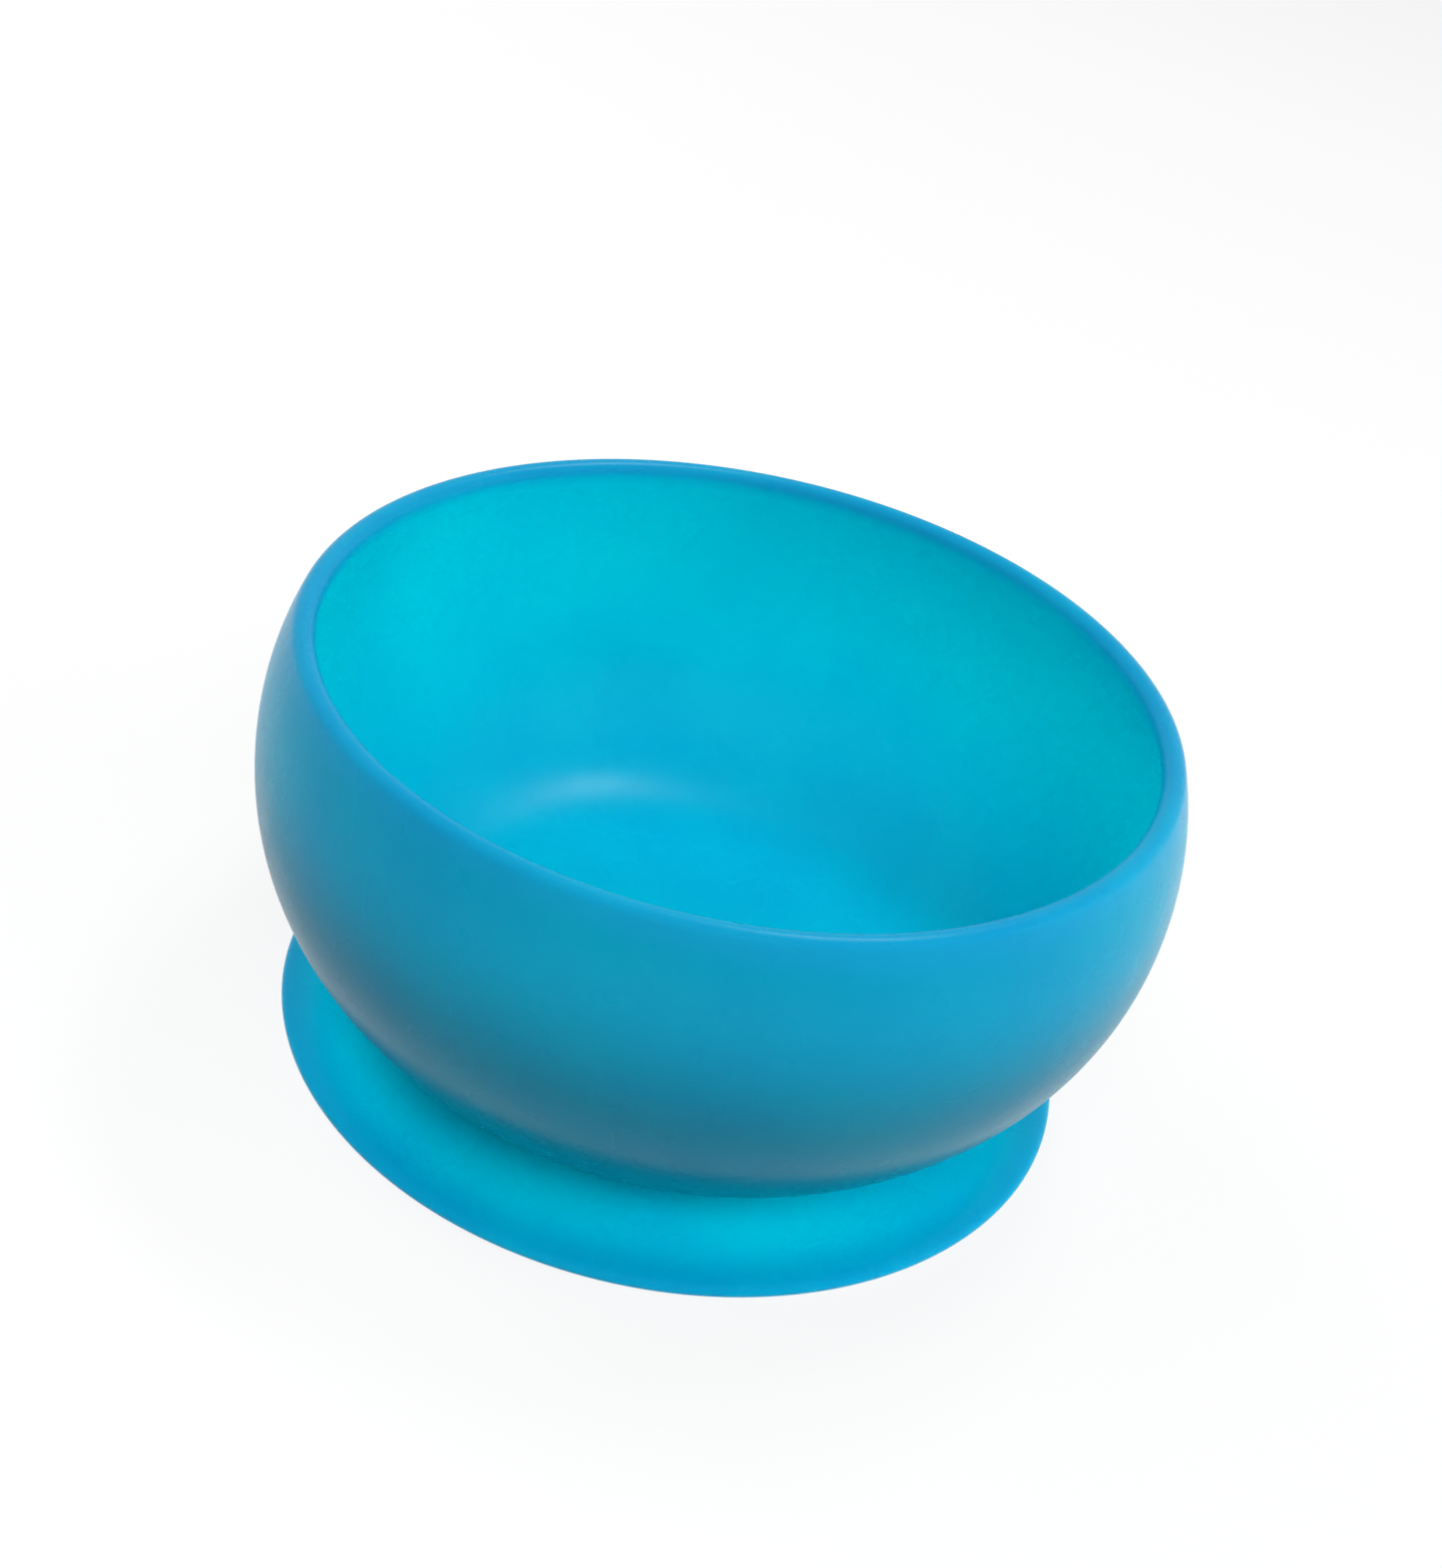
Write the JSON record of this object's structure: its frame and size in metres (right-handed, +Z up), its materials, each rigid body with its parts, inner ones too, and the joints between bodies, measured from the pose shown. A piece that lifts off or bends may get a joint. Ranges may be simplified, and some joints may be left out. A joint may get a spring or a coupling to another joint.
{
  "type": "suction bowl",
  "caption": "Round silicone feeding bowl with a full-round lip, on a flared suction base that presses down to grip a table and lets the bowl lift off.",
  "frame": {"origin": "centre of the base, on the table that the bowl stands on", "axes": "+Z up along the axis of revolution; X and Y in the table, alike because the object is round"},
  "size_m": [0.1254, 0.1254, 0.06],
  "materials": {
    "bowl_silicone": "satin moulded silicone, turquoise blue",
    "base_silicone": "satin moulded silicone, turquoise blue"
  },
  "bodies": {
    "skirt": {"suction_skirt": "base_silicone"},
    "hub": {"base_hub": "base_silicone"},
    "bowl": {"bowl": "bowl_silicone"}
  },
  "joints": [
    {"name": "suction_press", "type": "slide", "parent": "skirt", "child": "hub", "axis": [0, 0, -1], "range_m": [0, 0.0018], "stiffness_N_per_m": 8000, "springref_m": -0.0005, "deforming": ["suction_skirt"]},
    {"name": "bowl_lift_off", "type": "slide", "parent": "hub", "child": "bowl", "axis": [0, 0, 1], "range_m": [0, 0.03]}
  ]
}
